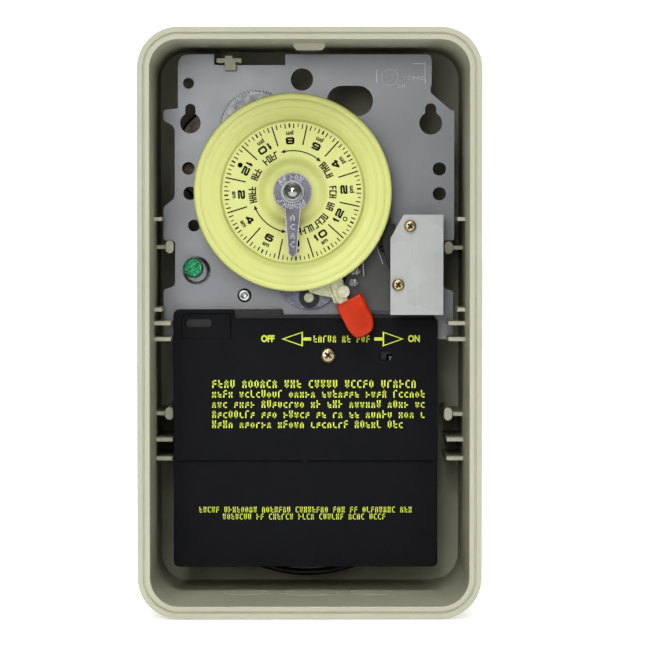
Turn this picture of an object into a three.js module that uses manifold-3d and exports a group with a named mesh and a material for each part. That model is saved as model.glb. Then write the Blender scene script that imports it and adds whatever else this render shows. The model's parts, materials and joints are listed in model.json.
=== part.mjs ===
// A wall-mounted 24-hour mechanical time switch in a plastic enclosure, seen with its cover off.
// Units are millimetres. X is right, Z is up, and the open front faces -Y. The origin is at the
// centre of the enclosure's back face, and "out" is a distance from that face towards the front.
import * as THREE from "three";
import { mergeVertices } from "three/addons/utils/BufferGeometryUtils.js";
import Module from "manifold-3d";

const wasm = await Module();
wasm.setup();

// ---- Driving dimensions ----------------------------------------------------------------------
const CASE = { width: 133, height: 228.5, depth: 95, corner: 16, back: 3, rimBand: 4.8 };
const RIM = { depth: 9, step: 1.2, grooveInset: 2.1, grooveWidth: 0.7, grooveDepth: 0.65 };
const PLATE = { front: 40, thick: 1.2 };
const PLATE_BACK = PLATE.front - PLATE.thick;
const GAP = 0.3; // left between pieces that touch
const DIAL = { x: -6.7, z: 51.0, radius: 39.2, face: 67, faceRadius: 27.4, faceRise: 2.6, back: 58.9 };
const GEAR_MODULE = { fine: 0.48, coarse: 0.8 };
const TEETH = { motorPinion: 10, transfer: 60, transferPinion: 8, dialGear: 68 };
const TRANSFER = { x: -21.4, z: 77.5 }; // stud of the transfer gear, upper left of the dial
const MOTOR = { x: -33.4, z: 65.7, radius: 21.5, outBack: 14 };
const LEVER = { x: 10.0, z: 23.3, lean: 21.5, outBack: 52, thick: 3.2 };
const TRIP = { x: -0.3, z: 17.1, radius: 12.9, hubRadius: 8.4, out: 42, thick: 1.5, pinDrop: 8.2 };
const GUARD = { left: -54.6, right: 51.2, top: 0.5, bottom: -99.1, front: 48.2, wall: 1.6 };
const BREAK_LINE = { z: -56.9, groove: 0.9, depth: 0.7 };
const BOARD = { left: -52.6, right: 50.0, top: 2.0, seat: -8.5, bottom: -30, front: 44.6, back: 22 };
const BRACKET = { left: 31.9, right: 52.8, bottom: 2.5, top: 42.1, front: 65, sheet: 1.1 };
const TERMINALS = [-38, -22, -7, 22, 37]; // X of each clamp screw on the terminal board
const TERMINAL_Z = -19.5;
const GUARD_SCREW = { x: 7.4, z: -14.1 };
const WALL_HOLES = [[0, 105], [-42, -84], [42, -84]];
const GROUND = { x: -45.6, z: 19.8, hole: 1.9, headBack: 5.8, lean: 9 };
const WIRE = { radius: 1.4, sides: 8, steps: 56 };

const degrees = (angle) => (angle * Math.PI) / 180;

// ---- Materials -------------------------------------------------------------------------------
function finish(color, roughness, metalness = 0) {
  return new THREE.MeshStandardMaterial({ color, roughness, metalness });
}
const beigePlastic = finish(0xb9b79d, 0.6);
const steel = finish(0x9a9c9e, 0.4, 0.9);
const yellowPlastic = finish(0xd8dc80, 0.45);
const blackPlastic = finish(0x1d1d1f, 0.55);
const redPlastic = finish(0xcc3a1c, 0.35);
const paleNylon = finish(0xb9b49a, 0.4);
const brassMetal = finish(0xb39a62, 0.35, 1);
const copper = finish(0xb87448, 0.35, 1);
const greenPaint = finish(0x17713c, 0.35, 0.5);
const insulation = finish(0x151515, 0.45);

// ---- Solids ----------------------------------------------------------------------------------
function toSolid(geometry) {
  const plain = new THREE.BufferGeometry();
  plain.setAttribute("position", geometry.getAttribute("position"));
  if (geometry.index) plain.setIndex(geometry.index);
  const merged = mergeVertices(plain, 1e-3);
  return new wasm.Manifold(
    new wasm.Mesh({
      numProp: 3,
      vertProperties: new Float32Array(merged.attributes.position.array),
      triVerts: new Uint32Array(merged.index.array),
    }),
  );
}

function toGeometry(solid) {
  const mesh = solid.getMesh();
  const geometry = new THREE.BufferGeometry();
  geometry.setAttribute("position", new THREE.BufferAttribute(mesh.vertProperties, 3));
  geometry.setIndex(new THREE.BufferAttribute(mesh.triVerts, 1));
  return geometry;
}

function cut(base, ...tools) {
  const left = tools.reduce((solid, tool) => solid.subtract(toSolid(tool)), toSolid(base));
  return toGeometry(left);
}

function join(...pieces) {
  const [first, ...rest] = pieces.map(toSolid);
  return toGeometry(rest.reduce((solid, piece) => solid.add(piece), first));
}

// A sheet or block: an X-Z outline, solid between two distances from the wall.
function slab(outline, outBack, outFront, curveSegments = 3) {
  const depth = outFront - outBack;
  const block = new THREE.ExtrudeGeometry(outline, { depth, bevelEnabled: false, curveSegments });
  return block.translate(0, 0, outBack).rotateX(Math.PI / 2);
}

// A turned piece about an axis that points out of the wall: each point is [radius, out].
function turned(profile, segments = 24) {
  const points = profile.map(([radius, out]) => new THREE.Vector2(radius, out));
  return new THREE.LatheGeometry(points, segments).rotateX(Math.PI);
}

function disc(radius, outBack, outFront, segments = 16) {
  return turned([[0, outBack], [radius, outBack], [radius, outFront], [0, outFront]], segments);
}

function ring(inner, outer, outBack, outFront, segments = 20) {
  const profile = [[inner, outBack], [outer, outBack], [outer, outFront], [inner, outFront]];
  return turned([...profile, profile[0]], segments);
}

function block(left, right, bottom, top, outBack, outFront) {
  const box = new THREE.BoxGeometry(right - left, outFront - outBack, top - bottom);
  return box.translate((left + right) / 2, -(outBack + outFront) / 2, (bottom + top) / 2);
}

function moved(geometry, x, z) {
  return geometry.translate(x, 0, z);
}

// ---- Outlines --------------------------------------------------------------------------------
function polygon(points) {
  return new THREE.Shape(points.map(([x, z]) => new THREE.Vector2(x, z)));
}

// A closed outline with each corner rounded by its own radius: points are [x, z, radius].
function rounded(points) {
  const shape = new THREE.Shape();
  points.forEach(([x, z, radius = 0], index) => {
    const corner = new THREE.Vector2(x, z);
    const before = points[(index + points.length - 1) % points.length];
    const after = points[(index + 1) % points.length];
    const towards = (other) => new THREE.Vector2(other[0], other[1]).sub(corner).normalize();
    const start = towards(before).multiplyScalar(radius).add(corner);
    const end = towards(after).multiplyScalar(radius).add(corner);
    if (index === 0) shape.moveTo(start.x, start.y);
    else shape.lineTo(start.x, start.y);
    if (radius > 0) shape.quadraticCurveTo(corner.x, corner.y, end.x, end.y);
  });
  shape.closePath();
  return shape;
}

function roundedRectangle(width, height, radius) {
  const x = width / 2 - radius;
  const z = height / 2 - radius;
  const shape = new THREE.Shape();
  shape.moveTo(-x, -z - radius);
  shape.lineTo(x, -z - radius);
  shape.absarc(x, -z, radius, -Math.PI / 2, 0);
  shape.absarc(x, z, radius, 0, Math.PI / 2);
  shape.absarc(-x, z, radius, Math.PI / 2, Math.PI);
  shape.absarc(-x, -z, radius, Math.PI, 1.5 * Math.PI);
  shape.closePath();
  return shape;
}

// A slot with round ends, from one centre to the other.
function slotOutline(x1, z1, x2, z2, radius) {
  const along = Math.atan2(z2 - z1, x2 - x1);
  const shape = new THREE.Shape();
  shape.absarc(x1, z1, radius, along + Math.PI / 2, along + 1.5 * Math.PI);
  shape.absarc(x2, z2, radius, along - Math.PI / 2, along + Math.PI / 2);
  shape.closePath();
  return shape;
}

// A spur gear's outline with straight-sided teeth and running backlash.
function gearOutline(teeth, module, phase = 0) {
  const pitch = (teeth * module) / 2;
  const tip = pitch + 0.85 * module;
  const root = pitch - 1.15 * module;
  const step = (2 * Math.PI) / teeth;
  const points = [];
  for (let tooth = 0; tooth < teeth; tooth += 1) {
    const middle = phase + tooth * step;
    const corners = [[root, -0.25], [tip, -0.1], [tip, 0.1], [root, 0.25]];
    corners.forEach(([radius, share]) => {
      const angle = middle + share * step;
      points.push([radius * Math.cos(angle), radius * Math.sin(angle)]);
    });
  }
  return polygon(points);
}

// ---- The scene graph -------------------------------------------------------------------------
const timeSwitch = new THREE.Group();
const groups = {
  enclosure: new THREE.Group(),
  mechanism: new THREE.Group(),
  dialWork: new THREE.Group(),
  wiring: new THREE.Group(),
};
Object.values(groups).forEach((group) => timeSwitch.add(group));

function add(group, name, geometry, material, x = 0, z = 0, out = 0) {
  const mesh = new THREE.Mesh(geometry, material);
  mesh.name = name;
  mesh.position.set(x, -out, z);
  group.add(mesh);
  return mesh;
}

// ---- Enclosure -------------------------------------------------------------------------------
function knockoutRing(x, radius) {
  const inner = CASE.height / 2 - CASE.rimBand;
  const groove = new THREE.CylinderGeometry(radius, radius, 1.2, 20);
  const core = new THREE.CylinderGeometry(radius - 0.9, radius - 0.9, 2, 20);
  const annulus = cut(groove, core).rotateX(Math.PI / 2);
  return annulus.translate(x, -47, -inner);
}

function sideRib(side, z, innerReach, outBack, outFront) {
  const wall = side * (CASE.width / 2 - CASE.rimBand + 1);
  const tip = side * innerReach;
  return block(Math.min(wall, tip), Math.max(wall, tip), z - 0.8, z + 0.8, outBack, outFront);
}

function locatingPost(side, x, z) {
  const post = slab(slotOutline(x, z - 0.9, x, z + 0.9, 1.7), 2, 43.5, 5);
  return join(post, sideRib(side, z, Math.abs(x), 2, 42));
}

function caseBody() {
  const { width, height, depth, corner, back, rimBand } = CASE;
  const shellWidth = width - 2 * RIM.step;
  const shellHeight = height - 2 * RIM.step;
  const arc = 6; // steps in each quarter-round corner
  const shell = slab(roundedRectangle(shellWidth, shellHeight, corner - RIM.step), 0, depth - 2, arc);
  const rim = slab(roundedRectangle(width, height, corner), depth - RIM.depth, depth, arc);
  const mouth = roundedRectangle(width - 2 * rimBand, height - 2 * rimBand, corner - rimBand);
  const hollow = slab(mouth, back, depth + 1, arc);
  const grooveOuter = width - 2 * RIM.grooveInset;
  const grooveTall = height - 2 * RIM.grooveInset;
  const grooveEdge = roundedRectangle(grooveOuter, grooveTall, corner - RIM.grooveInset);
  const grooveInner = 2 * RIM.grooveWidth;
  const grooveHole = roundedRectangle(
    grooveOuter - grooveInner,
    grooveTall - grooveInner,
    corner - RIM.grooveInset - RIM.grooveWidth,
  );
  const groove = cut(
    slab(grooveEdge, depth - RIM.grooveDepth, depth + 1, arc),
    slab(grooveHole, depth - RIM.grooveDepth - 1, depth + 2, arc),
  );
  const wallHoles = WALL_HOLES.map(([x, z]) => moved(disc(2.7, -1, back + 2, 12), x, z));
  const knockouts = [[-26, 9], [0, 11.2], [25, 9]].map(([x, radius]) => knockoutRing(x, radius));
  const topLug = slab(
    polygon([[-6.4, 110.5], [-6.4, 108.2], [-5.2, 106.9], [4.9, 106.9], [6.1, 108.2], [6.1, 110.5]]),
    62,
    66,
  );
  const posts = [[-1, -56.3, 29.2], [1, 55.8, 28.9], [-1, -56.5, -37.8], [1, 55.7, -38.1]];
  const ribs = [];
  [-1, 1].forEach((side) => {
    ribs.push(sideRib(side, 40.4, 58.5, 42, 62));
    ribs.push(sideRib(side, 4.5, 58.5, 42, 62));
    ribs.push(sideRib(side, -0.9, 55.0, 42, 62), sideRib(side, -7.2, 55.0, 42, 62));
    ribs.push(sideRib(side, -48.2, 55.0, 2, 45), sideRib(side, -55.8, 55.0, 2, 45));
  });
  const pillars = [[-44, 99], [44, 99], [-54, -3], [54, -3]].map(([x, z]) =>
    moved(disc(3.2, 2, PLATE_BACK - GAP, 8), x, z),
  );
  const latchGuide = block(-36.5, -28.5, 100.5, 109.8, 2, 8);
  const body = join(
    cut(join(shell, rim), hollow, groove, ...wallHoles, ...knockouts),
    topLug,
    latchGuide,
    ...posts.map(([side, x, z]) => locatingPost(side, x, z)),
    ...ribs,
    ...pillars,
  );
  return body;
}
add(groups.enclosure, "case_body", caseBody(), beigePlastic);

// The latch stands in the plate's top notch. It slides up to free the plate.
function mechanismLatch() {
  const stem = block(-34.1, -30.9, 102.7, 105.9, 8 + GAP, 44);
  const bar = block(-37.4, -27.3, 103, 104.9, 37, 44);
  const tongue = block(-34.1, -29.6, 99.9, 103.1, PLATE.front + GAP, 44);
  return join(stem, bar, tongue);
}
add(groups.enclosure, "mechanism_latch", mechanismLatch(), beigePlastic);

// ---- Mounting plate --------------------------------------------------------------------------
function plateOutline() {
  return rounded([
    [-53.0, 106.6, 4.6], [-38.4, 106.6], [-38.4, 102.3], [-9.8, 102.3], [-9.8, 106.6],
    [49.1, 106.6, 2.4], [49.1, 94.4, 0.5], [48.6, 93.6], [48.6, 91.3, 1], [56.9, 84.1],
    [58.2, 84.1, 0.5], [58.2, 31.8, 1], [53.7, 31.8, 1.5], [53.7, 12.9, 1], [57.8, 11.3, 1],
    [57.8, -8], [-58.9, -8], [-58.9, 12.0, 1], [-54.2, 13.5, 1.6], [-54.2, 31.8, 1.5],
    [-58.9, 31.8, 1], [-58.9, 45.2, 1], [-54.3, 48.9, 1.5], [-54.3, 77.6, 2], [-58.9, 80, 1],
    [-58.9, 84.2, 1], [-53.0, 85],
  ]);
}

function plateHoles() {
  const through = [PLATE_BACK - 1, PLATE.front + 1];
  const hole = (x, z, radius) => moved(disc(radius, ...through, radius > 3 ? 24 : 14), x, z);
  const slot = (x1, z1, x2, z2, radius) => slab(slotOutline(x1, z1, x2, z2, radius), ...through, 7);
  const round = [
    [-48.7, 95.0, 2.2], [-3.1, 96.5, 4.5], [-48.8, 60.8, 2.6], [-48.2, 50.8, 2.7],
    [-46.6, 37.8, 2.4], [52.2, 60.6, 2.7], [52.2, 50.6, 2.7], [MOTOR.x, MOTOR.z, 4.2],
    [-48.0, 79.0, 4.15], [48.7, 79.0, 4.6],
  ];
  return [
    ...round.map(([x, z, radius]) => hole(x, z, radius)),
    slot(-48.0, 79.0, -48.0, 84.7, 2.06),
    slot(48.7, 79.0, 48.7, 84.7, 2.25),
    slot(13.0, 87.9, 19.4, 87.9, 6.1),
    hole(DIAL.x, DIAL.z, 2.3),
    hole(TRANSFER.x, TRANSFER.z, 1.6),
    hole(LEVER.x, LEVER.z, 1.8),
    hole(TRIP.x, TRIP.z, 1.8),
    hole(GROUND.x, GROUND.z, GROUND.hole),
    hole(-26.3, 9.7, 1.7),
  ];
}
const mountingPlate = cut(slab(plateOutline(), PLATE_BACK, PLATE.front), ...plateHoles());
add(groups.mechanism, "mounting_plate", mountingPlate, steel);

// ---- Motor and gear train --------------------------------------------------------------------
const canFront = PLATE_BACK - 6.4;
const motorCan = turned([
  [0, MOTOR.outBack], [MOTOR.radius - 1.5, MOTOR.outBack], [MOTOR.radius, MOTOR.outBack + 1.5],
  [MOTOR.radius, canFront - 1], [MOTOR.radius - 1, canFront], [0, canFront],
], 28);
add(groups.mechanism, "motor_can", motorCan, steel, MOTOR.x, MOTOR.z);

function motorGearbox() {
  const housing = rounded([[-9, -12, 5], [9, -12, 5], [13, 4, 5], [7, 13, 4], [-7, 13, 4], [-13, 4, 5]]);
  const body = slab(housing, canFront + GAP, PLATE_BACK - GAP);
  return cut(body, disc(3.4, canFront + 1, PLATE_BACK + 1, 20));
}
add(groups.mechanism, "motor_gearbox", motorGearbox(), brassMetal, MOTOR.x, MOTOR.z);

// Angles from the transfer gear to its two partners, in the X-Z plane.
const toMotor = Math.atan2(MOTOR.z - TRANSFER.z, MOTOR.x - TRANSFER.x);
const toDial = Math.atan2(DIAL.z - TRANSFER.z, DIAL.x - TRANSFER.x);
const gearOut = { back: 41.2, front: 42.6 };
const dialGearOut = { back: 45.6, front: 47.8 };

const motorPinion = join(
  slab(gearOutline(TEETH.motorPinion, GEAR_MODULE.fine, toMotor + Math.PI + Math.PI / TEETH.motorPinion),
    gearOut.back - 0.8, gearOut.front + 0.8),
  disc(1.5, canFront + 1.6, gearOut.back, 12),
);
add(groups.mechanism, "motor_pinion", motorPinion, brassMetal, MOTOR.x, MOTOR.z);

const transferGear = cut(
  slab(gearOutline(TEETH.transfer, GEAR_MODULE.fine, toMotor), gearOut.back, gearOut.front),
  disc(1.5, 38, 50, 16),
);
add(groups.dialWork, "transfer_gear", transferGear, steel, TRANSFER.x, TRANSFER.z);

const transferPinion = cut(
  slab(gearOutline(TEETH.transferPinion, GEAR_MODULE.coarse, toDial), gearOut.front + GAP, 48.6),
  disc(1.5, 38, 50, 16),
);
add(groups.dialWork, "transfer_pinion", transferPinion, brassMetal, TRANSFER.x, TRANSFER.z);

const transferStud = turned([
  [0, PLATE_BACK - 1.2], [2.6, PLATE_BACK - 1.2], [2.6, PLATE_BACK - GAP], [1.3, PLATE_BACK - GAP],
  [1.3, 49], [2.2, 49], [2.2, 50], [0, 50],
], 16);
add(groups.mechanism, "transfer_stud", transferStud, steel, TRANSFER.x, TRANSFER.z);

// ---- Dial work -------------------------------------------------------------------------------
const sleeveRadius = 4.5;
function dialGear() {
  const phase = toDial + Math.PI + Math.PI / TEETH.dialGear;
  const outline = gearOutline(TEETH.dialGear, GEAR_MODULE.coarse, phase);
  const web = slab(outline, dialGearOut.back, dialGearOut.front);
  return cut(web, disc(sleeveRadius + GAP, 44, 50, 18));
}
add(groups.dialWork, "dial_gear", dialGear(), brassMetal, DIAL.x, DIAL.z);

const shoulderOut = 59.4;
const dialSleeve = turned([
  [2.3, 44.6], [sleeveRadius, 44.6], [sleeveRadius, dialGearOut.front + GAP],
  [6.6, dialGearOut.front + GAP], [6.6, shoulderOut], [sleeveRadius, shoulderOut],
  [sleeveRadius, 73.2], [2.3, 73.2], [2.3, 44.6],
], 18);
add(groups.dialWork, "dial_sleeve", dialSleeve, paleNylon, DIAL.x, DIAL.z);

// The printed face stands proud of the dial's flange. A skirt runs round behind the flange.
function dialProfile() {
  const face = DIAL.face;
  const flange = face - DIAL.faceRise;
  const profile = [
    [sleeveRadius + GAP, shoulderOut + GAP], [7.6, shoulderOut + GAP], [7.6, face - 3.2],
    [27.0, face - 3.2], [28.4, flange - 1.6], [37.4, flange - 1.6], [37.6, DIAL.back],
    [38.7, DIAL.back], [DIAL.radius, DIAL.back + 0.6], [DIAL.radius, flange - 0.9],
    [38.3, flange], [28.4, flange], [DIAL.faceRadius, face], [sleeveRadius + GAP, face],
  ];
  return [...profile, profile[0]];
}
add(groups.dialWork, "dial", turned(dialProfile(), 48), yellowPlastic, DIAL.x, DIAL.z);

const pointerBack = 74;
// The spring holds the dial back against its shoulder, under the pointer's hub.
function helix(radius, wire, start, end, turns, steps) {
  const points = [];
  for (let step = 0; step <= steps; step += 1) {
    const share = step / steps;
    const angle = share * turns * 2 * Math.PI;
    const out = start + wire + (end - start - 2 * wire) * share;
    points.push(new THREE.Vector3(radius * Math.cos(angle), -out, radius * Math.sin(angle)));
  }
  const section = new THREE.Shape();
  section.absarc(0, 0, wire, 0, 2 * Math.PI);
  const extrudePath = new THREE.CatmullRomCurve3(points);
  return new THREE.ExtrudeGeometry(section, { steps, extrudePath, curveSegments: 3 });
}
const dialSpring = helix(5.7, 0.35, DIAL.face + GAP, pointerBack - GAP, 3.5, 28);
add(groups.dialWork, "dial_spring", dialSpring, steel, DIAL.x, DIAL.z);

const centreShaft = turned([
  [0, PLATE_BACK - 2], [4.2, PLATE_BACK - 2], [4.2, PLATE_BACK - GAP], [2.0, PLATE_BACK - GAP],
  [2.0, 78.2], [0, 78.2],
], 14);
add(groups.mechanism, "centre_shaft", centreShaft, steel, DIAL.x, DIAL.z);

// The pointer hangs straight down from the shaft. Its blade tapers to a point.
function timePointer() {
  const hub = disc(7.6, pointerBack, pointerBack + 1.2, 32);
  const blade = rounded([
    [-3.15, -5, 0], [3.15, -5, 0], [1.6, -24.2, 0.8], [0, -26.3, 0.2], [-1.6, -24.2, 0.8],
  ]);
  const pointer = join(hub, slab(blade, pointerBack, pointerBack + 1.2));
  return cut(pointer, disc(2.3, pointerBack - 1, pointerBack + 2, 20));
}
add(groups.dialWork, "time_pointer", timePointer(), steel, DIAL.x, DIAL.z);

const washerBack = pointerBack + 1.2 + GAP;
const pointerWasher = ring(2.3, 4.6, washerBack, washerBack + 0.6, 20);
add(groups.dialWork, "pointer_washer", pointerWasher, steel, DIAL.x, DIAL.z);

// A domed nut on a round flange, blind at the front.
const NUT = { bore: 2.1, flange: 3.7, flangeThick: 0.8, domeRadius: 2.8, domeTall: 2.6, blind: 78.5 };
function pointerNut() {
  const seat = washerBack + 0.6 + GAP;
  const domeFoot = seat + NUT.flangeThick + 0.4;
  const dome = [];
  for (let step = 0; step < 5; step += 1) {
    const angle = (step / 5) * (Math.PI / 2);
    dome.push([NUT.domeRadius * Math.cos(angle), domeFoot + NUT.domeTall * Math.sin(angle)]);
  }
  return turned([
    [NUT.bore, seat], [NUT.flange, seat], [NUT.flange, seat + NUT.flangeThick], ...dome,
    [0, domeFoot + NUT.domeTall], [0, NUT.blind], [NUT.bore, NUT.blind], [NUT.bore, seat],
  ], 18);
}
add(groups.dialWork, "pointer_nut", pointerNut(), steel, DIAL.x, DIAL.z);

// ---- Manual lever ----------------------------------------------------------------------------
// The lever is drawn hanging straight down from its pivot, then leaned to its ON position.
function leaned(geometry) {
  return geometry.rotateY(degrees(-LEVER.lean));
}

const leverFront = LEVER.outBack + LEVER.thick;
function leverArm() {
  const arm = rounded([
    [-6.3, 3.5, 2], [-2, 6, 2], [4.6, 4.4, 2], [4.8, -3, 2], [0.4, -6.5, 1], [0.4, -10.4, 0.4],
    [-0.6, -14.6, 0.5], [-0.4, -24, 0.6], [-4.4, -24, 0.6], [-4.5, -16.0], [-5.9, -15.4, 0.3],
  ]);
  const body = slab(arm, LEVER.outBack, leverFront);
  const boss = moved(disc(2.6, LEVER.outBack, leverFront + 0.4, 20), -1.1, -12.2);
  const wing = polygon([[-5, -2], [-12.6, -4.4], [-14, -7.4], [-10, -10.5], [-6.9, -12.3], [-5, -13.5]]);
  const flange = slab(wing, LEVER.outBack, LEVER.outBack + 1.3);
  const ridge = block(-6.3, -5.4, -15.2, -2, LEVER.outBack, leverFront + 0.7);
  const hub = disc(3.6, PLATE.front + 4.4, LEVER.outBack + 0.5, 14);
  const cam = slab(slotOutline(0, 0, 4.6, -1.5, 1.6), PLATE.front + 5, LEVER.outBack + 0.5, 4);
  return cut(join(body, boss, flange, ridge, hub, cam), disc(1.8, PLATE.front, leverFront + 2, 12));
}
add(groups.mechanism, "manual_lever", leaned(leverArm()), paleNylon, LEVER.x, LEVER.z);

function leverCap() {
  const outline = rounded([
    [-6.2, -16.6, 0.8], [5.3, -15.0, 0.8], [6.1, -26.5, 1], [4.4, -31.2, 2.8], [-3.2, -32.1, 2.8],
    [-5.0, -27.5, 1],
  ]);
  const outer = slab(outline, LEVER.outBack - 2.4, leverFront + 2.4, 5);
  const pocket = block(-4.9, 0.2, -24.4, -14, LEVER.outBack - GAP, leverFront + GAP);
  const bossRoom = moved(disc(3, LEVER.outBack - GAP, leverFront + 0.7, 16), -1.1, -12.2);
  return cut(outer, pocket, bossRoom);
}
add(groups.mechanism, "lever_cap", leaned(leverCap()), redPlastic, LEVER.x, LEVER.z);

const leverPin = turned([
  [0, PLATE_BACK - 1.4], [3, PLATE_BACK - 1.4], [3, PLATE_BACK - GAP], [1.5, PLATE_BACK - GAP],
  [1.5, leverFront + 0.4], [2.6, leverFront + 0.4], [2.6, leverFront + 1.3], [0, leverFront + 1.3],
], 12);
add(groups.mechanism, "lever_pivot_pin", leverPin, steel, LEVER.x, LEVER.z);

const leverSpring = helix(2.6, 0.4, PLATE.front + GAP, PLATE.front + 4.1, 3, 24);
add(groups.mechanism, "lever_spring", leverSpring, steel, LEVER.x, LEVER.z);

// ---- Trip cam --------------------------------------------------------------------------------
// A steel disc, wide below its stud and narrow above, where the lever's pivot pin passes it.
function tripCam() {
  const outline = new THREE.Shape();
  outline.absarc(0, 0, TRIP.radius, degrees(172), degrees(344));
  outline.absarc(0, 0, TRIP.hubRadius, degrees(368), degrees(508));
  outline.closePath();
  return cut(slab(outline, TRIP.out, TRIP.out + TRIP.thick, 16), disc(1.8, 40, 50, 12));
}
add(groups.mechanism, "trip_cam", tripCam(), steel, TRIP.x, TRIP.z);

const tripFront = TRIP.out + TRIP.thick;
const tripStud = turned([
  [0, PLATE_BACK - 1.2], [2.8, PLATE_BACK - 1.2], [2.8, PLATE_BACK - GAP], [1.5, PLATE_BACK - GAP],
  [1.5, tripFront + 0.4], [3, tripFront + 0.4], [3, tripFront + 1.3], [0, tripFront + 1.3],
], 12);
add(groups.mechanism, "trip_stud", tripStud, steel, TRIP.x, TRIP.z);

const tripBush = ring(2.3, 4.1, tripFront + GAP, tripFront + 2.6, 20);
add(groups.mechanism, "trip_bush", tripBush, blackPlastic, TRIP.x, TRIP.z - TRIP.pinDrop);

const tripPin = disc(1.95, tripFront + GAP, tripFront + 3.4, 14);
add(groups.mechanism, "trip_pin", tripPin, paleNylon, TRIP.x, TRIP.z - TRIP.pinDrop);

// ---- Main contacts ---------------------------------------------------------------------------
const CONTACT = { pivotX: 20.3, pivotZ: 38.4, tipX: 21.6, tipZ: 17.4, out: 51.2, depth: 4.6 };
const baseFront = PLATE.front + 9.6;
const switchBase = slab(
  rounded([[13.2, 3.6, 0.6], [32.6, 3.6, 0.6], [32.6, 41.2, 1], [20.8, 41.2], [18.4, 37.5],
    [17.5, 30], [17.5, 24.2, 1.5], [13.2, 13.5, 1]]),
  PLATE.front + GAP,
  baseFront,
);
add(groups.mechanism, "switch_base", switchBase, blackPlastic);

function contactBlade() {
  const { pivotX, pivotZ, tipX, tipZ, out, depth } = CONTACT;
  const line = polygon([
    [tipX - 0.3, tipZ], [tipX + 0.3, tipZ], [pivotX + 0.3, pivotZ - 2.4], [pivotX - 0.3, pivotZ - 2.4],
  ]);
  const strip = slab(line, out, out + depth);
  const eye = moved(disc(2.2, out, out + depth, 12), pivotX, pivotZ - 1);
  return cut(join(strip, eye), moved(disc(1.3, out - 1, out + depth + 1, 10), pivotX, pivotZ - 1));
}
add(groups.mechanism, "contact_blade", contactBlade(), copper);

const contactPost = turned([
  [0, baseFront + GAP], [1.8, baseFront + GAP], [1.8, CONTACT.out - GAP], [1.1, CONTACT.out - GAP],
  [1.1, CONTACT.out + CONTACT.depth + 0.4], [0, CONTACT.out + CONTACT.depth + 0.4],
], 10);
add(groups.mechanism, "contact_post", contactPost, brassMetal, CONTACT.pivotX, CONTACT.pivotZ - 1);

// Two silvered buttons face the blade on copper brackets that stand on the switch base.
[[20.3, 19.7], [19.5, 15.1]].forEach(([x, z], index) => {
  const foot = baseFront + GAP;
  const fixed = join(
    block(x - 3.6, x - 0.9, z - 1.5, z + 1.5, foot, foot + 1),
    block(x - 1.9, x - 0.9, z - 1.5, z + 1.5, foot, foot + 5.2),
    block(x - 1.2, x - 0.1, z - 0.9, z + 0.9, foot + 2.6, foot + 4.6),
  );
  add(groups.mechanism, `fixed_contact_${index + 1}`, fixed, copper);
});

// ---- Auxiliary snap switch and its cover -----------------------------------------------------
const AUX = { back: PLATE.front + GAP, wing: 56, front: BRACKET.front - BRACKET.sheet - GAP };
const auxMain = rounded([[50.4, 5.2, 1], [50.4, 41.2, 1], [37.8, 41.2, 1], [33, 32.6, 1], [33, 5.2, 1]]);
const auxWing = rounded([[34, 38.6], [30.4, 38.6, 1], [28.2, 32.4, 1], [31.6, 20.4, 0.5], [34, 20.4]]);
const coverScrews = [[39.7, 37.6], [35.0, 14.4]];
function screwShankHoles(back, front) {
  return coverScrews.map(([x, z]) => moved(disc(1.6, back, front, 10), x, z));
}

// A sprung leaf hangs beside the snap switch. The plunger rides on it, in a bore that leaves
// room for the leaf's swing.
const LEAF = { x: 25.2, z: 33.2, length: 11.6, lean: 20.9, out: 51, depth: 5 };
const PLUNGER = { drop: 5.6, radius: 1.1, length: 3.4, out: 53.5, aside: 1.0, room: 0.6 };
function besideLeaf(geometry, drop, aside) {
  geometry.translate(aside, 0, -drop).rotateY(degrees(-LEAF.lean));
  return geometry.translate(LEAF.x, 0, LEAF.z);
}
function actuatorLeaf() {
  const strip = block(-0.18, 0.18, -LEAF.length, 0, LEAF.out, LEAF.out + LEAF.depth);
  const eye = disc(0.9, LEAF.out, LEAF.out + LEAF.depth, 12);
  return besideLeaf(join(strip, eye), 0, 0);
}
add(groups.mechanism, "actuator_leaf", actuatorLeaf(), steel);

function plungerRod(radius, length) {
  const rod = new THREE.CylinderGeometry(radius, radius, length, 14).rotateZ(Math.PI / 2);
  return besideLeaf(rod.translate(length / 2, -PLUNGER.out, 0), PLUNGER.drop, PLUNGER.aside);
}
add(groups.mechanism, "snap_plunger", plungerRod(PLUNGER.radius, PLUNGER.length), blackPlastic);

const auxBody = cut(
  join(slab(auxMain, AUX.back, AUX.front), slab(auxWing, baseFront + GAP, AUX.wing)),
  ...screwShankHoles(AUX.front - 8, AUX.front + 1),
  block(40, 44.2, 4, 8, 50, 54),
  plungerRod(PLUNGER.radius + PLUNGER.room, PLUNGER.length + 2),
);
add(groups.mechanism, "snap_switch_body", auxBody, blackPlastic);

const coverSheet = rounded([
  [BRACKET.left, BRACKET.bottom, 0.4], [BRACKET.right, BRACKET.bottom, 0.4],
  [BRACKET.right, BRACKET.top, 0.4], [37.1, BRACKET.top, 0.6], [BRACKET.left, 32.8, 0.6],
]);
function switchCover() {
  const { left, right, bottom, top, front, sheet } = BRACKET;
  const faceSheet = slab(coverSheet, front - sheet, front);
  const side = block(right - sheet, right, bottom, top, PLATE.front + GAP, front - sheet / 2);
  const foot = block(41.5, right - sheet / 2, bottom, bottom + 1.2, PLATE.front + GAP, PLATE.front + 8);
  const holes = screwShankHoles(front - 3, front + 1);
  return cut(join(faceSheet, side, foot), ...holes);
}
add(groups.mechanism, "switch_cover", switchCover(), steel);

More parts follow.
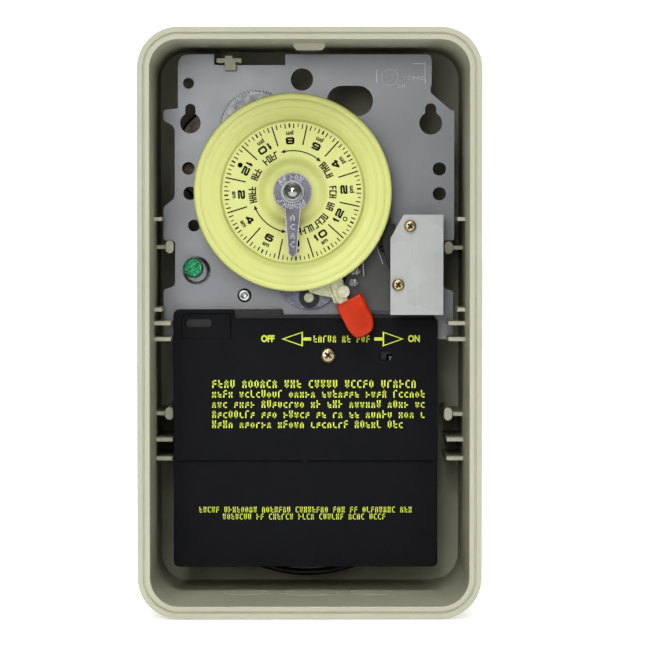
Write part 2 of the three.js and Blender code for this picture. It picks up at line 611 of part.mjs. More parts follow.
// A pan-head screw with a cross recess, its head's back face at out 0.
function crossScrew(headRadius, shankRadius, shankLength) {
  const head = turned([
    [0, -shankLength], [shankRadius, -shankLength], [shankRadius, 0], [headRadius, 0],
    [headRadius, 0.6], [headRadius * 0.75, 1.4], [0, 1.75],
  ], 16);
  const half = headRadius * 0.52;
  const wide = block(-half, half, -0.38, 0.38, 0.75, 3);
  const tall = block(-0.38, 0.38, -half, half, 0.75, 3);
  return cut(head, join(wide, tall).rotateY(degrees(38)));
}

function slottedScrew(headRadius, shankRadius, shankLength, segments = 20, turn = 50) {
  const body = turned([
    [0, -shankLength], [shankRadius, -shankLength], [shankRadius, 0], [headRadius, 0],
    [headRadius, 1.5], [headRadius * 0.9, 2], [0, 2],
  ], segments);
  return cut(body, block(-headRadius, headRadius, -0.5, 0.5, 1.1, 3).rotateY(degrees(turn)));
}

coverScrews.forEach(([x, z], index) => {
  const screw = crossScrew(2.45, 1.25, 7);
  add(groups.mechanism, `cover_screw_${index + 1}`, screw, brassMetal, x, z, BRACKET.front + GAP);
});

// ---- Ground screw and rivets -----------------------------------------------------------------
const groundCollar = turned([
  [2.6, GAP], [5.6, GAP], [5.6, 0.9], [4.9, 1.3], [4.6, 4.4], [3.9, 4.7], [2.6, 4.7], [2.6, GAP],
], 24);
add(groups.mechanism, "ground_washer", groundCollar, steel, GROUND.x, GROUND.z, PLATE.front);

// The screw is backed out of its collar, and leans up and to the left in its hole.
const groundScrew = slottedScrew(3.95, 1.4, GROUND.headBack + 2.5, 20, -30);
groundScrew.translate(0, -GROUND.headBack, 0).rotateX(degrees(-GROUND.lean)).rotateZ(degrees(-GROUND.lean));
add(groups.mechanism, "ground_screw", groundScrew, greenPaint, GROUND.x, GROUND.z, PLATE.front);

// A tubular rivet, its rolled end facing the front.
const rivetFront = PLATE.front + GAP;
const plateRivet = turned([
  [0, PLATE_BACK - 1.2], [2.2, PLATE_BACK - 1.2], [2.2, PLATE_BACK - GAP], [1.4, PLATE_BACK - GAP],
  [1.4, rivetFront], [2.8, rivetFront], [2.8, rivetFront + 0.5], [2.1, rivetFront + 1.1],
  [1.3, rivetFront + 1.1], [0.9, rivetFront + 0.4], [0, rivetFront + 0.4],
], 16);
add(groups.mechanism, "plate_rivet", plateRivet, steel, -26.3, 9.7);

// ---- Terminal board --------------------------------------------------------------------------
function terminalBoard() {
  const { left, right, top, seat, bottom, front, back } = BOARD;
  const flange = block(left, right, seat - 1, top, PLATE.front + GAP, front);
  const ledge = block(-52.6, -11, top - 0.5, 4.2, PLATE.front + GAP, front);
  const body = block(left + 3, right - 3, bottom, seat, back, front);
  const wells = TERMINALS.map((x) => block(x - 6, x + 6, bottom - 1, TERMINAL_Z + 5.5, 36, front + 1));
  const shankHoles = TERMINALS.map((x) => moved(disc(1.9, 26, 37, 10), x, TERMINAL_Z));
  const guardHole = moved(disc(1.8, 30, front + 1, 12), GUARD_SCREW.x, GUARD_SCREW.z);
  return cut(join(flange, ledge, body), ...wells, ...shankHoles, guardHole);
}
add(groups.wiring, "terminal_board", terminalBoard(), blackPlastic);

TERMINALS.forEach((x, index) => {
  const clamp = cut(
    block(-5, 5, -5, 4.6, 36 + GAP, 37.4),
    disc(1.9, 30, 40, 10),
  );
  add(groups.wiring, `terminal_clamp_${index + 1}`, clamp, brassMetal, x, TERMINAL_Z);
  const screw = slottedScrew(3.6, 1.6, 8, 12);
  add(groups.wiring, `terminal_screw_${index + 1}`, screw, steel, x, TERMINAL_Z, 37.4 + GAP);
});

// ---- Safety guard ----------------------------------------------------------------------------
function guardPanel() {
  const { left, right, top, bottom, front, wall } = GUARD;
  const outline = rounded([
    [left, 4.2, 2.6], [left, bottom, 2.4], [right, bottom, 2.4], [right, top, 1.2], [-30.4, top, 0.5],
    [-30.4, 4.2, 0.5],
  ]);
  const inner = rounded([
    [left + wall, 4.2 - wall, 2], [left + wall, bottom + wall, 1], [right - wall, bottom + wall, 1],
    [right - wall, top - wall, 0.8], [-32, top - wall, 0.4], [-32, 4.2 - wall, 0.4],
  ]);
  const skirtBack = front - 3.2;
  const tray = cut(slab(outline, skirtBack, front), slab(inner, skirtBack - 1, front - wall));
  const breakLine = [[-52.6, -3.2], [-0.8, 49.2]].map(([from, to]) =>
    block(from, to, BREAK_LINE.z - BREAK_LINE.groove / 2, BREAK_LINE.z + BREAK_LINE.groove / 2,
      front - BREAK_LINE.depth, front + 1),
  );
  const pocket = slab(
    rounded([[-51.4, 2.6, 2.5], [-51.4, -7.6, 0.4], [-31.6, -7.6, 0.4], [-31.6, 2.6, 0.4]]),
    front - 0.8,
    front + 1,
  );
  const pocketSlot = slab(slotOutline(-48.1, -1.2, -40.9, -1.2, 1.8), front - 4, front + 1, 5);
  const sideHole = slab(
    rounded([[28.2, -16.2, 0.8], [32.8, -16.2, 0.8], [32.8, -12.6, 0.8], [28.2, -12.6, 0.8]]),
    front - 4,
    front + 1,
  );
  const screwHole = moved(disc(1.9, front - 4, front + 1, 12), GUARD_SCREW.x, GUARD_SCREW.z);
  return cut(tray, ...breakLine, pocket, pocketSlot, sideHole, screwHole);
}
add(groups.wiring, "safety_guard", guardPanel(), blackPlastic);
const guardScrew = crossScrew(3.2, 1.5, 12);
add(groups.wiring, "guard_screw", guardScrew, brassMetal, GUARD_SCREW.x, GUARD_SCREW.z, GUARD.front + GAP);

// ---- Wires -----------------------------------------------------------------------------------
function wire(route, radius = WIRE.radius, steps = WIRE.steps) {
  const points = route.map(([x, out, z]) => new THREE.Vector3(x, -out, z));
  const section = new THREE.Shape();
  for (let side = 0; side < WIRE.sides; side += 1) {
    const angle = (side / WIRE.sides) * 2 * Math.PI;
    const corner = [radius * Math.cos(angle), radius * Math.sin(angle)];
    if (side === 0) section.moveTo(...corner);
    else section.lineTo(...corner);
  }
  section.closePath();
  const extrudePath = new THREE.CatmullRomCurve3(points, false, "centripetal");
  return new THREE.ExtrudeGeometry(section, { steps, extrudePath, bevelEnabled: false });
}

// The jumper lead leaves one terminal, loops below the guard and comes back to another.
const jumperRoute = [
  [-22, 33, -30.4], [-22.8, 33, -36], [-26, 32.4, -45.5], [-31.4, 31.4, -57], [-36, 30.4, -68],
  [-38.4, 29.6, -77.5], [-37.6, 29, -85.4], [-32.6, 28.4, -93], [-25, 28, -98], [-17, 28, -101.1],
  [-8.9, 28, -103], [-0.7, 28, -103.6], [7.5, 28, -103], [15.6, 28, -101.1], [23.6, 28, -98],
  [31.2, 28.4, -93], [36.4, 29, -85.4], [37.6, 29.6, -77.5], [35.6, 30.4, -68], [31.2, 31.4, -57],
  [26, 32.4, -45.5], [22.8, 33, -36], [22, 33, -30.4],
];
add(groups.wiring, "jumper_lead", wire(jumperRoute), insulation);

// Two short leads run down behind the plate from the motor to the board.
[[-39, 43.4, -38], [-31, 43.4, -28]].forEach(([x, z, end], index) => {
  const route = [
    [x, 21, z], [x - 0.6, 20.4, z - 8], [x - 1.4, 20, z - 20], [x, 20.6, z - 32],
    [(x + end) / 2, 24, 0], [end, 28.6, -5.4], [end, 29.6, BOARD.seat + GAP],
  ];
  add(groups.wiring, `motor_lead_${index + 1}`, wire(route, 0.9, 10), insulation);
});

export default timeSwitch;
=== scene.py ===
"""Looks for the 24-hour dial time switch: materials, print, wires, light and camera.

Blender works in metres. The open front faces -Y, X is right and Z is up. "Out" is a distance
from the wall plane towards the front, so a point at out 67 mm lies at y = -0.067.
"""
import json
import math
import random

import bmesh
import bpy
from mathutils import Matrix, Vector


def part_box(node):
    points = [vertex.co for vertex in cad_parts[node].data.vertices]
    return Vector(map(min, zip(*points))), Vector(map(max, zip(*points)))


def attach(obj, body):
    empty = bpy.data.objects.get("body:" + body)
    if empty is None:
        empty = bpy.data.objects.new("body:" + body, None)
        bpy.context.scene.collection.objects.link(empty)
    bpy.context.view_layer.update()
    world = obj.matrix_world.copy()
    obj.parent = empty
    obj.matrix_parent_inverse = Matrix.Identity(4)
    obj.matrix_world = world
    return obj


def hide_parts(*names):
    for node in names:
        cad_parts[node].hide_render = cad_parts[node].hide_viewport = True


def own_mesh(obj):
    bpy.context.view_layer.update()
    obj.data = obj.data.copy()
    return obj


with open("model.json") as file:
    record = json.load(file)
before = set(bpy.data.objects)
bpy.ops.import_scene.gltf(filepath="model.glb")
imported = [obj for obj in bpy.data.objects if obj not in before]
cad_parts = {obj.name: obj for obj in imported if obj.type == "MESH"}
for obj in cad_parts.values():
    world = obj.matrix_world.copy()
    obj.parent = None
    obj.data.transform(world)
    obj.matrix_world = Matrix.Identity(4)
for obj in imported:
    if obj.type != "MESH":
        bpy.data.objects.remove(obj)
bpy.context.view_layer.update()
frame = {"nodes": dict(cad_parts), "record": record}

MM = 0.001
NODES = frame["nodes"]


def mm(x, out, z):
    """A point from millimetres: x to the right, out from the wall, z up."""
    return Vector((x * MM, -out * MM, z * MM))


# ---- Camera ----------------------------------------------------------------------------------
RIM_OUT = -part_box("case_body")[0].y / MM
CAMERA_DISTANCE = 1200.0  # from the rim, mm
CAMERA_HEIGHT = 38.0  # above the enclosure's centre, mm
AIM = (5.9, RIM_OUT, -0.5)
LENS = 172.5


def add_camera():
    camera = bpy.data.objects.new("camera", bpy.data.cameras.new("camera"))
    bpy.context.scene.collection.objects.link(camera)
    camera.location = mm(0, RIM_OUT + CAMERA_DISTANCE, CAMERA_HEIGHT)
    towards = mm(*AIM) - camera.location
    camera.rotation_euler = towards.to_track_quat("-Z", "Y").to_euler()
    camera.data.lens = LENS
    camera.data.sensor_width = 36
    camera.data.clip_end = 20
    bpy.context.scene.camera = camera


# ---- Node-tree helpers -----------------------------------------------------------------------
def new_material(name, base, roughness, metallic=0.0):
    """A material with one Principled shader, and object coordinates in metres to texture from."""
    material = bpy.data.materials.new(name)
    material.use_nodes = True
    tree = material.node_tree
    shader = tree.nodes["Principled BSDF"]
    shader.inputs["Base Color"].default_value = (*base, 1)
    shader.inputs["Roughness"].default_value = roughness
    shader.inputs["Metallic"].default_value = metallic
    coordinates = tree.nodes.new("ShaderNodeTexCoord")
    return material, tree, shader, coordinates.outputs["Object"]


def scaled(tree, source, scale):
    """Texture coordinates stretched by a scale per axis, in features per metre."""
    mapping = tree.nodes.new("ShaderNodeMapping")
    mapping.inputs["Scale"].default_value = scale
    tree.links.new(source, mapping.inputs["Vector"])
    return mapping.outputs["Vector"]


def noise(tree, source, scale, detail=4.0, rough=0.5, distortion=0.0):
    node = tree.nodes.new("ShaderNodeTexNoise")
    node.inputs["Scale"].default_value = scale
    node.inputs["Detail"].default_value = detail
    node.inputs["Roughness"].default_value = rough
    node.inputs["Distortion"].default_value = distortion
    tree.links.new(source, node.inputs["Vector"])
    return node.outputs["Fac"]


def cells(tree, source, scale):
    node = tree.nodes.new("ShaderNodeTexVoronoi")
    node.inputs["Scale"].default_value = scale
    tree.links.new(source, node.inputs["Vector"])
    return node.outputs["Color"]


def remap(tree, value, low, high, new_low, new_high):
    node = tree.nodes.new("ShaderNodeMapRange")
    node.inputs["From Min"].default_value = low
    node.inputs["From Max"].default_value = high
    node.inputs["To Min"].default_value = new_low
    node.inputs["To Max"].default_value = new_high
    tree.links.new(value, node.inputs["Value"])
    return node.outputs["Result"]


def blended(tree, factor, first, second):
    """A colour between two colours, or between a colour socket and a colour."""
    node = tree.nodes.new("ShaderNodeMix")
    node.data_type = "RGBA"
    tree.links.new(factor, node.inputs["Factor"])
    for socket, colour in (("A_Color", first), ("B_Color", second)):
        target = next(item for item in node.inputs if item.identifier == socket)
        if isinstance(colour, tuple):
            target.default_value = (*colour, 1)
        else:
            tree.links.new(colour, target)
    return next(item for item in node.outputs if item.identifier == "Result_Color")


def bump(tree, shader, height, distance, strength=1.0, under=None):
    node = tree.nodes.new("ShaderNodeBump")
    node.inputs["Strength"].default_value = strength
    node.inputs["Distance"].default_value = distance
    tree.links.new(height, node.inputs["Height"])
    if under is not None:
        tree.links.new(under, node.inputs["Normal"])
    tree.links.new(node.outputs["Normal"], shader.inputs["Normal"])
    return node.outputs["Normal"]


def uneven_roughness(tree, shader, source, scale, detail, low, high):
    """Roughness that wanders between two values."""
    wander = remap(tree, noise(tree, source, scale, detail), 0.3, 0.7, low, high)
    tree.links.new(wander, shader.inputs["Roughness"])


def edge_wear_and_highlight(tree, source, low=0.52, high=0.6):
    """High on convex edges, broken up by noise: a mask for wear and for a painted highlight on the
    edges.
    """
    geometry = tree.nodes.new("ShaderNodeNewGeometry")
    sharp = remap(tree, geometry.outputs["Pointiness"], low, high, 0, 1)
    broken = remap(tree, noise(tree, source, 900), 0.35, 0.65, 0.2, 1)
    product = tree.nodes.new("ShaderNodeMath")
    product.operation = "MULTIPLY"
    tree.links.new(sharp, product.inputs[0])
    tree.links.new(broken, product.inputs[1])
    return product.outputs["Value"]


# ---- Materials -------------------------------------------------------------------------------
def case_plastic():
    """Beige moulded plastic: a fine spark-eroded grain, faint flow shade, and handling marks."""
    material, tree, shader, at = new_material("case_plastic", (0.5, 0.5, 0.4), 0.5)
    shade = remap(tree, noise(tree, at, 22, 3), 0.3, 0.7, 0, 1)
    colour = blended(tree, shade, (0.43, 0.43, 0.335), (0.47, 0.47, 0.37))
    specks = remap(tree, noise(tree, at, 1900, 2), 0.62, 0.72, 0, 0.16)
    colour = blended(tree, specks, colour, (0.31, 0.30, 0.23))
    tree.links.new(colour, shader.inputs["Base Color"])
    uneven_roughness(tree, shader, at, 60, 4, 0.42, 0.58)
    grain = bump(tree, shader, noise(tree, at, 2400, 2), 0.00004, 0.5)
    bump(tree, shader, noise(tree, at, 90, 2), 0.0004, 0.12, grain)
    shader.inputs["Specular IOR Level"].default_value = 0.42
    return material


def sheet_metal(name, dark, light, roughness, spangle=70, metallic=0.75, mottle=0.14):
    """Zinc-coated rolled sheet: faint spangle, upright roll lines and cloudy patches."""
    material, tree, shader, at = new_material(name, light, roughness[0], metallic)
    cloud = remap(tree, noise(tree, at, 14, 3, 0.55), 0.35, 0.7, 0, 0.7)
    colour = blended(tree, cloud, light, dark)
    spots = remap(tree, cells(tree, at, spangle), 0.0, 1.0, 0, mottle)
    colour = blended(tree, spots, colour, dark)
    rolled = noise(tree, scaled(tree, at, (1, 1, 0.03)), 700, 3)
    colour = blended(tree, remap(tree, rolled, 0.5, 0.75, 0, 0.14), colour, light)
    tree.links.new(colour, shader.inputs["Base Color"])
    tree.links.new(
        remap(tree, noise(tree, at, 40, 5, 0.65), 0.3, 0.7, *roughness), shader.inputs["Roughness"]
    )
    lines = bump(tree, shader, rolled, 0.00002, 0.25)
    bump(tree, shader, noise(tree, at, 300, 3), 0.00004, 0.15, lines)
    return material


def dial_plastic():
    """Satin yellow-green plastic with faint turning rings and a little light inside it."""
    material, tree, shader, at = new_material("dial_plastic", (0.78, 0.80, 0.24), 0.38)
    shade = remap(tree, noise(tree, at, 30, 3), 0.3, 0.7, 0, 1)
    colour = blended(tree, shade, (0.595, 0.625, 0.215), (0.64, 0.665, 0.26))
    tree.links.new(colour, shader.inputs["Base Color"])
    uneven_roughness(tree, shader, at, 150, 4, 0.32, 0.46)
    bump(tree, shader, noise(tree, at, 1500, 2), 0.00002, 0.5)
    shader.inputs["Subsurface Weight"].default_value = 0.12
    shader.inputs["Subsurface Radius"].default_value = (1.0, 0.9, 0.3)
    shader.inputs["Subsurface Scale"].default_value = 0.0012
    return material


def ink(name, colour, roughness):
    """Printed ink, also used for the painted shade in the screw recesses: slightly uneven in cover
    and gloss.
    """
    material, tree, shader, at = new_material(name, colour, roughness)
    thin = remap(tree, noise(tree, at, 1600, 3), 0.3, 0.75, 0, 0.25)
    darker = tuple(channel * 0.72 + 0.004 for channel in colour)
    tree.links.new(blended(tree, thin, colour, darker), shader.inputs["Base Color"])
    uneven_roughness(tree, shader, at, 500, 2, roughness - 0.08, roughness + 0.1)
    return material


def dark_plastic(name, base, roughness, grain, dust=0.03, gloss=0.4):
    """Black moulded plastic: grained, with a trace of pale dust."""
    material, tree, shader, at = new_material(name, base, roughness[0])
    shader.inputs["Specular IOR Level"].default_value = gloss
    lifted = tuple(channel * 1.15 for channel in base)
    cloud = remap(tree, noise(tree, at, 45, 5, 0.6), 0.35, 0.7, 0, 1)
    colour = blended(tree, cloud, base, lifted)
    specks = remap(tree, noise(tree, at, 1300, 2), 0.66, 0.8, 0, dust)
    colour = blended(tree, specks, colour, (0.3, 0.3, 0.29))
    tree.links.new(colour, shader.inputs["Base Color"])
    uneven_roughness(tree, shader, at, 110, 4, *roughness)
    bump(tree, shader, noise(tree, at, grain, 2), 0.00004, 0.6)
    return material


def plated_metal(name, base, tarnish, roughness, brushed=None, metallic=1.0, edge=1.25):
    """Plated or bare metal: patchy tarnish, fine scratches, and brighter edges that are partly wear
    and partly a painted highlight.
    """
    material, tree, shader, at = new_material(name, base, roughness, metallic)
    patches = remap(tree, noise(tree, at, 240, 5, 0.6), 0.35, 0.75, 0, 0.7)
    colour = blended(tree, patches, base, tarnish)
    # partly wear, partly painted highlight: convex edges lightened by the factor edge
    bright = tuple(min(1.0, channel * edge) for channel in base)
    colour = blended(tree, edge_wear_and_highlight(tree, at), colour, bright)
    tree.links.new(colour, shader.inputs["Base Color"])
    uneven_roughness(tree, shader, at, 420, 4, roughness - 0.08, roughness + 0.12)
    scratches = noise(tree, scaled(tree, at, brushed or (1, 1, 1)), 1800, 3)
    bump(tree, shader, scratches, 0.00003, 0.4)
    return material


def translucent_nylon():
    """Off-white nylon: milky, mottled, with light passing a little way in."""
    material, tree, shader, at = new_material("lever_nylon", (0.62, 0.59, 0.44), 0.34)
    mottled = remap(tree, noise(tree, at, 420, 5, 0.62, 0.6), 0.35, 0.68, 0, 1)
    colour = blended(tree, mottled, (0.62, 0.62, 0.40), (0.92, 0.91, 0.70))
    tree.links.new(colour, shader.inputs["Base Color"])
    shader.inputs["Subsurface Weight"].default_value = 0.4
    shader.inputs["Subsurface Radius"].default_value = (1.0, 0.9, 0.6)
    shader.inputs["Subsurface Scale"].default_value = 0.0016
    shader.inputs["Transmission Weight"].default_value = 0.12
    bump(tree, shader, noise(tree, at, 700, 3), 0.00006, 0.5)
    return material


def red_plastic():
    """Glossy orange-red cap: a thin vinyl skin with soft shade changes."""
    material, tree, shader, at = new_material("cap_red", (0.62, 0.045, 0.01), 0.3)
    shade = remap(tree, noise(tree, at, 170, 4), 0.3, 0.7, 0, 1)
    colour = blended(tree, shade, (0.46, 0.026, 0.001), (0.55, 0.042, 0.002))
    tree.links.new(colour, shader.inputs["Base Color"])
    uneven_roughness(tree, shader, at, 320, 4, 0.1, 0.2)
    shader.inputs["Subsurface Weight"].default_value = 0.15
    shader.inputs["Specular IOR Level"].default_value = 0.4
    shader.inputs["Subsurface Radius"].default_value = (1.0, 0.2, 0.1)
    shader.inputs["Subsurface Scale"].default_value = 0.001
    bump(tree, shader, noise(tree, at, 260, 3), 0.00012, 0.35)
    return material


def green_lacquer():
    """Green lacquer over steel, with a painted highlight in pale green on the slot's edges."""
    material, tree, shader, at = new_material("ground_green", (0.005, 0.17, 0.05), 0.28, 0.55)
    # painted highlight: the slot's edges pale green, standing in for glints on the lacquer
    colour = blended(tree, edge_wear_and_highlight(tree, at, 0.54, 0.6), (0.01, 0.30, 0.125), (0.45, 0.8, 0.58))
    patch = remap(tree, noise(tree, at, 900, 4), 0.42, 0.6, 0, 0.85)
    tree.links.new(blended(tree, patch, colour, (0.002, 0.12, 0.05)), shader.inputs["Base Color"])
    shader.inputs["Coat Weight"].default_value = 0.6
    shader.inputs["Coat Roughness"].default_value = 0.12
    bump(tree, shader, noise(tree, at, 700, 3), 0.0003, 0.8)
    return material


SHEETS = {  # name: dark and light shade, roughness from and to, and the rest of sheet_metal
    "plate_steel": ((0.175, 0.18, 0.188), (0.218, 0.224, 0.233), (0.33, 0.40), 70, 0.85),
    "cover_steel": ((0.33, 0.34, 0.335), (0.475, 0.483, 0.477), (0.44, 0.54), 150, 0.5, 0.6),
}
DARK_PLASTICS = {  # name: colour, roughness from and to, and the rest of dark_plastic
    "guard_plastic": ((0.0062, 0.0065, 0.0085), (0.42, 0.52), 1500, 0.012, 0.13),
    "black_plastic": ((0.014, 0.014, 0.016), (0.26, 0.42), 900, 0.02),
    "base_grey": ((0.08, 0.08, 0.079), (0.2, 0.3), 400, 0.01, 0.5),
    "wire_insulation": ((0.009, 0.009, 0.01), (0.3, 0.42), 700, 0.01),
}
METALS = {  # name: colour, tarnish, roughness, and the rest of plated_metal
    "pointer_metal": ((0.165, 0.162, 0.185), (0.06, 0.058, 0.07), 0.34, (1, 1, 0.1)),
    "bright_steel": ((0.46, 0.465, 0.47), (0.2, 0.2, 0.205), 0.2),
    # gear_steel's edges are three times as light: a painted highlight that picks out the teeth
    "gear_steel": ((0.225, 0.23, 0.24), (0.16, 0.165, 0.17), 0.34, None, 0.8, 3.0),
    # painted reflection: trip_steel's near-black patches stand for mottled dark reflections in its
    # chrome
    "trip_steel": ((0.19, 0.197, 0.225), (0.02, 0.021, 0.028), 0.24, (1, 1, 0.2)),
    "brass": ((0.52, 0.44, 0.28), (0.26, 0.21, 0.12), 0.24),
    "contact_silver": ((0.26, 0.26, 0.265), (0.07, 0.07, 0.075), 0.24, None, 1.0, 1.0),
    # painted highlight: the pointer's raised letters and rim are lighter than the pointer's own
    # metal
    "relief_bright": ((0.36, 0.36, 0.39), (0.22, 0.22, 0.24), 0.3, None, 1.0, 1.0),
    # painted highlight: the plate's stampings are lighter than the plate they are pressed from
    "stamp_shine": ((0.42, 0.43, 0.45), (0.3, 0.31, 0.32), 0.32, None, 0.8, 1.0),
    "motor_steel": ((0.06, 0.05, 0.042), (0.03, 0.026, 0.022), 0.34),
}
INKS = {  # name: colour, roughness
    "dial_print": ((0.008, 0.008, 0.003), 0.7),
    "guard_print": ((0.70, 0.80, 0.075), 0.5),
    # recess_shade is painted shade, not print: the dark floors of the screws' cross recesses
    "recess_shade": ((0.05, 0.04, 0.022), 0.6),
}
MATERIALS = {
    "case_plastic": case_plastic(),
    "dial_plastic": dial_plastic(),
    "lever_nylon": translucent_nylon(),
    "cap_red": red_plastic(),
    "ground_green": green_lacquer(),
}
for make, table in (
    (sheet_metal, SHEETS), (dark_plastic, DARK_PLASTICS), (plated_metal, METALS), (ink, INKS)
):
    for name, settings in table.items():
        MATERIALS[name] = make(name, *settings)


# ---- CAD nodes: material and a soft edge -----------------------------------------------------
SOFT_EDGE = {  # rounding of the edges, mm
    "case_body": 0.3, "safety_guard": 0.25, "lever_cap": 0.9, "manual_lever": 0.35,
    "mechanism_latch": 0.35, "snap_switch_body": 0.3, "switch_base": 0.35,
    "terminal_board": 0.3,
}
SHARP_ANGLE = math.radians(32)
PLAIN_EDGE = 0.12  # the rounding of every other piece, mm
WELD_GAP = 0.002 * MM
FLAT_ANGLE = 0.002  # radians, between two triangles of one flat face
CRISP = {"mounting_plate", "switch_cover"}  # thin sheet: its edges stay square


def soften(piece, width, segments):
    """Joins split vertices and rounds the sharp edges; thin sheet stays as it is."""
    if piece.name in CRISP:
        piece.data.shade_flat()
        return
    weld = piece.modifiers.new("weld", "WELD")
    weld.merge_threshold = WELD_GAP
    bevel = piece.modifiers.new("bevel", "BEVEL")
    bevel.width = width * MM
    bevel.segments = segments
    bevel.limit_method = "ANGLE"
    bevel.angle_limit = SHARP_ANGLE
    bevel.use_clamp_overlap = False
    piece.data.shade_smooth()
    normals = piece.modifiers.new("normals", "WEIGHTED_NORMAL")
    normals.mode = "FACE_AREA"
    normals.weight = 100
    normals.keep_sharp = True


def squash_dial_spring():
    """Gives the coil its own copy of its mesh; the coil, pressed against the pointer's hub as the
    dial is pulled out, keeps its modelled shape here.
    """
    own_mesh(NODES["dial_spring"])


SLOTS = {part["node"]: part["material_slot"] for part in frame["record"]["subparts"]}


def dress_cad_nodes():
    for name, piece in NODES.items():
        piece.data.materials.clear()
        piece.data.materials.append(MATERIALS[SLOTS[name]])
        soften(piece, SOFT_EDGE.get(name, PLAIN_EDGE), 3 if name in SOFT_EDGE else 2)


# ---- Mesh helpers ----------------------------------------------------------------------------
def new_piece(name, vertices, faces, material, body):
    mesh = bpy.data.meshes.new(name)
    mesh.from_pydata([tuple(vertex) for vertex in vertices], [], faces)
    mesh.materials.append(MATERIALS[material])
    piece = bpy.data.objects.new(name, mesh)
    bpy.context.scene.collection.objects.link(piece)
    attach(piece, body)
    return piece


def relay_triangles(name, new_name):
    """Swaps a node for its own surface with the flat faces cut into fuller triangles.

    A sliver of a triangle turns over when the edge beside it is rounded.
    """
    source = NODES[name]
    shell = bmesh.new()
    shell.from_mesh(source.data)
    shell.transform(source.matrix_world)
    bmesh.ops.remove_doubles(shell, verts=shell.verts[:], dist=WELD_GAP)
    flat = [edge for edge in shell.edges if edge.calc_face_angle(math.pi) < FLAT_ANGLE]
    bmesh.ops.beautify_fill(shell, faces=shell.faces[:], edges=flat, method="AREA")
    shell.verts.index_update()
    vertices = [vertex.co.copy() for vertex in shell.verts]
    faces = [[vertex.index for vertex in face.verts] for face in shell.faces]
    shell.free()
    slot = SLOTS[name]
    piece = new_piece(new_name, vertices, faces, slot, "enclosure")
    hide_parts(name)
    soften(piece, SOFT_EDGE[name], 3)


def flat_blocks(outlines, out_back, out_front):
    """Thin raised blocks from outlines: lists of (x, z) in mm, counter-clockwise from the front."""
    vertices, faces = [], []
    for outline in outlines:
        base = len(vertices)
        count = len(outline)
        vertices += [mm(x, out_front, z) for x, z in outline]
        vertices += [mm(x, out_back, z) for x, z in outline]
        faces.append([base + index for index in range(count)])
        faces.append([base + count + index for index in reversed(range(count))])
        for index in range(count):
            after = (index + 1) % count
            faces.append([base + index, base + count + index, base + count + after, base + after])
    return vertices, faces


def turned_mesh(profile, centre, segments):
    """A closed profile of (radius, out) in mm, turned about an axis that points out of the wall."""
    vertices, faces = [], []
    count = len(profile)
    for turn in range(segments):
        angle = 2 * math.pi * turn / segments
        for radius, out in profile:
            x = centre[0] + radius * math.cos(angle)
            vertices.append(mm(x, out, centre[1] + radius * math.sin(angle)))
    for turn in range(segments):
        here, there = turn * count, ((turn + 1) % segments) * count
        for index in range(count):
            after = (index + 1) % count
            faces.append([here + index, there + index, there + after, here + after])
    return vertices, faces


def rectangle(cx, cz, width, height, turn=0.0):
    """A rectangle's corners, turned counter-clockwise as seen from the front."""
    half, tall = width / 2, height / 2
    corners = [(-half, -tall), (half, -tall), (half, tall), (-half, tall)]
    cos, sin = math.cos(turn), math.sin(turn)
    return [(cx + x * cos - z * sin, cz + x * sin + z * cos) for x, z in corners]


# ---- Dial ------------------------------------------------------------------------------------
DIAL_LOW, DIAL_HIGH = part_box("dial")
DIAL_X = (DIAL_LOW.x + DIAL_HIGH.x) / 2 / MM
DIAL_Z = (DIAL_LOW.z + DIAL_HIGH.z) / 2 / MM
DIAL_RADIUS = (DIAL_HIGH.x - DIAL_LOW.x) / 2 / MM
DIAL_FACE = -DIAL_LOW.y / MM
DIAL_BACK = -DIAL_HIGH.y / MM
FLANGE_LEVEL = DIAL_FACE - 2.6
FLANGE_EDGE = 37.6  # radius where the rolled rim begins
SHOULDER_FOOT, SHOULDER_TOP = 28.9, 27.5  # radii where the face's soft shoulder starts and ends
SHOULDER_RISE = 2.65
DISH_RADIUS = 14.6
DISH_DEPTH = 1.5
DIAL_BORE = 4.9  # radius
HUB_RADIUS = 7.6
HUB_BACK = 59.8  # out from the wall
SKIN = 1.6  # the flange's thickness
ROLL = 1.1  # radius of the rolled rim
DIAL_SEGMENTS = 192
CREASE = math.radians(50)  # turned pieces are shaded smooth below this angle
DIAL_TURN = -2.8  # degrees clockwise, from the top to the 8 pm mark
PRINT_THICK = 0.05
FLANGE_RINGS = (  # middle radius, width, height
    (30.6, 1.1, -0.3), (32.6, 0.9, 0.06), (33.9, 0.5, -0.13), (35.2, 0.8, 0.12), (36.9, 0.45, -0.3),
)


def flange_wave(radius):
    """Height of the flange's soft moulded rings, above its own level."""
    height = 0
    for middle, width, tall in FLANGE_RINGS:
        height += tall * math.exp(-(((radius - middle) / width) ** 2))
    return height


